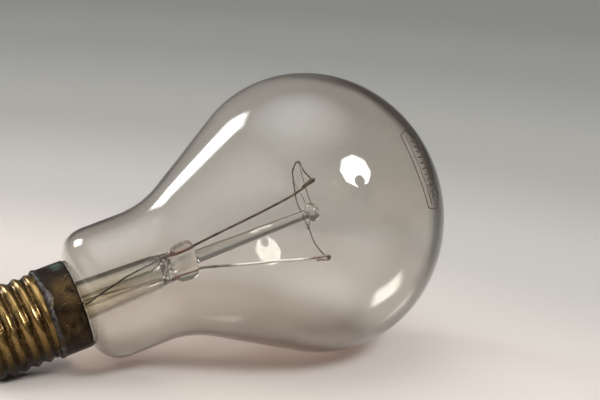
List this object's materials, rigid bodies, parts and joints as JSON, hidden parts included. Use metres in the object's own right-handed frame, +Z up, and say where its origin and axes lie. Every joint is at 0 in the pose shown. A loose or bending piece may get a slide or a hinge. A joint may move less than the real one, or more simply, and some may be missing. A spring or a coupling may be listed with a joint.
{
  "type": "dead light bulb",
  "caption": "Large clear pear-shaped filament lamp, dead and tarnished, with a screw cap, lying on its side on globe and cap.",
  "frame": {"origin": "on the table plane, under the middle of the lamp's box", "axes": "+X towards the glass crown, along the lamp as it lies; +Z up from the table; the lamp's own axis rises towards +X in the XZ plane"},
  "size_m": [0.1434, 0.0834, 0.0828],
  "materials": {
    "clear_glass": "thin clear glass with a faint grey-pink tint, dusty and slightly stained near the crown",
    "stem_glass": "clear lead glass with a yellowish tint",
    "rod_glass": "clear grey glass, fire polished",
    "tube_glass": "clear glass tube with a yellowish tint",
    "outer_wire": "thin darkened copper-coated wire",
    "seal_wire": "red-brown oxidised copper coating",
    "inner_wire": "drawn nickel wire, heat darkened",
    "tungsten": "dark coiled tungsten, burnt and sagging",
    "support_metal": "fine drawn molybdenum wire",
    "brass": "rolled brass sheet, tarnished dark in the grooves",
    "dark_collar": "blackened brass with green verdigris and scratches",
    "seam_solder": "uneven grey solder",
    "tip_solder": "worn grey solder",
    "contact_brass": "dull worn brass",
    "black_glass": "opaque glossy black glass, chipped and dusty",
    "cement": "baked brown basing cement"
  },
  "bodies": {
    "root": {"envelope": "clear_glass", "stem_flare": "stem_glass", "glass_rod": "rod_glass", "exhaust_tube": "tube_glass", "outer_lead_side": "outer_wire", "outer_lead_centre": "outer_wire", "seal_wire_upper": "seal_wire", "seal_wire_lower": "seal_wire", "inner_lead_upper": "inner_wire", "inner_lead_lower": "inner_wire", "filament": "tungsten", "support_wire_1": "support_metal", "support_wire_2": "support_metal", "support_wire_3": "support_metal", "support_wire_4": "support_metal", "screw_shell": "brass", "collar": "dark_collar", "collar_solder": "seam_solder", "insulator": "black_glass", "centre_contact": "contact_brass", "centre_solder": "tip_solder", "cap_cement": "cement"}
  },
  "joints": []
}
